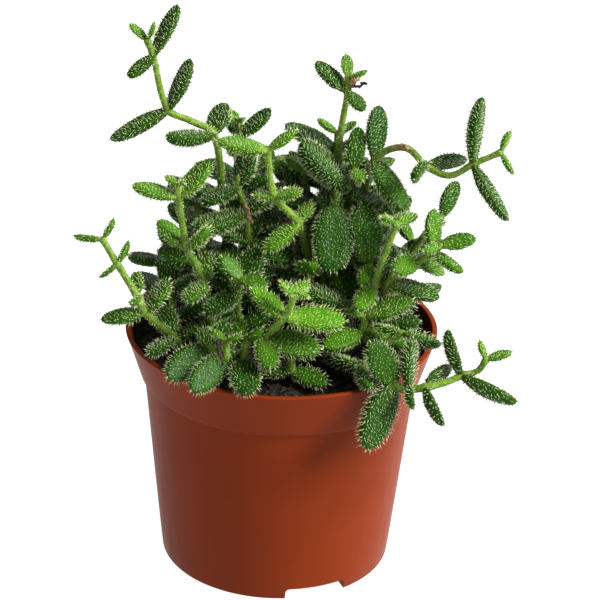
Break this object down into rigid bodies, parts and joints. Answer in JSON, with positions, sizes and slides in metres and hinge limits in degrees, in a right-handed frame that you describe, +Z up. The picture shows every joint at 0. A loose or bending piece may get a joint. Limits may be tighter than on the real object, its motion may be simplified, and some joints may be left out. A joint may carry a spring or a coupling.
{
  "type": "potted pickle plant",
  "caption": "Small nursery pot of dark soil holding a bushy succulent: thin upright stems with pairs of plump, bristly green leaves.",
  "frame": {"origin": "centre of the pot's underside", "axes": "+Z up, -Y towards the side that the picture shows, +X to its right"},
  "size_m": [0.119, 0.0912, 0.1602],
  "materials": {
    "pot": "thin moulded plastic, terracotta coloured, satin",
    "soil": "dark crumbly peat",
    "leaf": "plump green leaves and yellow-green stems with short pale bristles, satin"
  },
  "bodies": {
    "root": {"pot": "pot", "soil": "soil", "stem_tall_left": "leaf", "stem_left_front": "leaf", "stem_left_low": "leaf", "stem_bright_middle": "leaf", "stem_front_bright": "leaf", "stem_right_long": "leaf", "stem_top": "leaf", "stem_right": "leaf", "stem_right_behind": "leaf", "stem_right_bright": "leaf", "stem_right_rim": "leaf", "stem_rim_middle": "leaf", "stem_rim_right": "leaf", "stem_left_rim": "leaf", "stem_rim_left": "leaf", "stem_front_low": "leaf", "stem_middle": "leaf", "stem_middle_behind": "leaf", "stem_middle_left": "leaf", "stem_middle_front": "leaf", "stem_deep_middle": "leaf", "stem_left_middle": "leaf", "stem_left_deep": "leaf", "stem_left_side": "leaf", "stem_behind_middle": "leaf", "stem_left_behind": "leaf", "stem_back_left": "leaf", "stem_back_middle": "leaf", "stem_back_centre": "leaf", "stem_back_right": "leaf", "stem_inner_left": "leaf", "stem_back_inner": "leaf", "stem_far_left": "leaf", "stem_right_side": "leaf"}
  },
  "joints": []
}
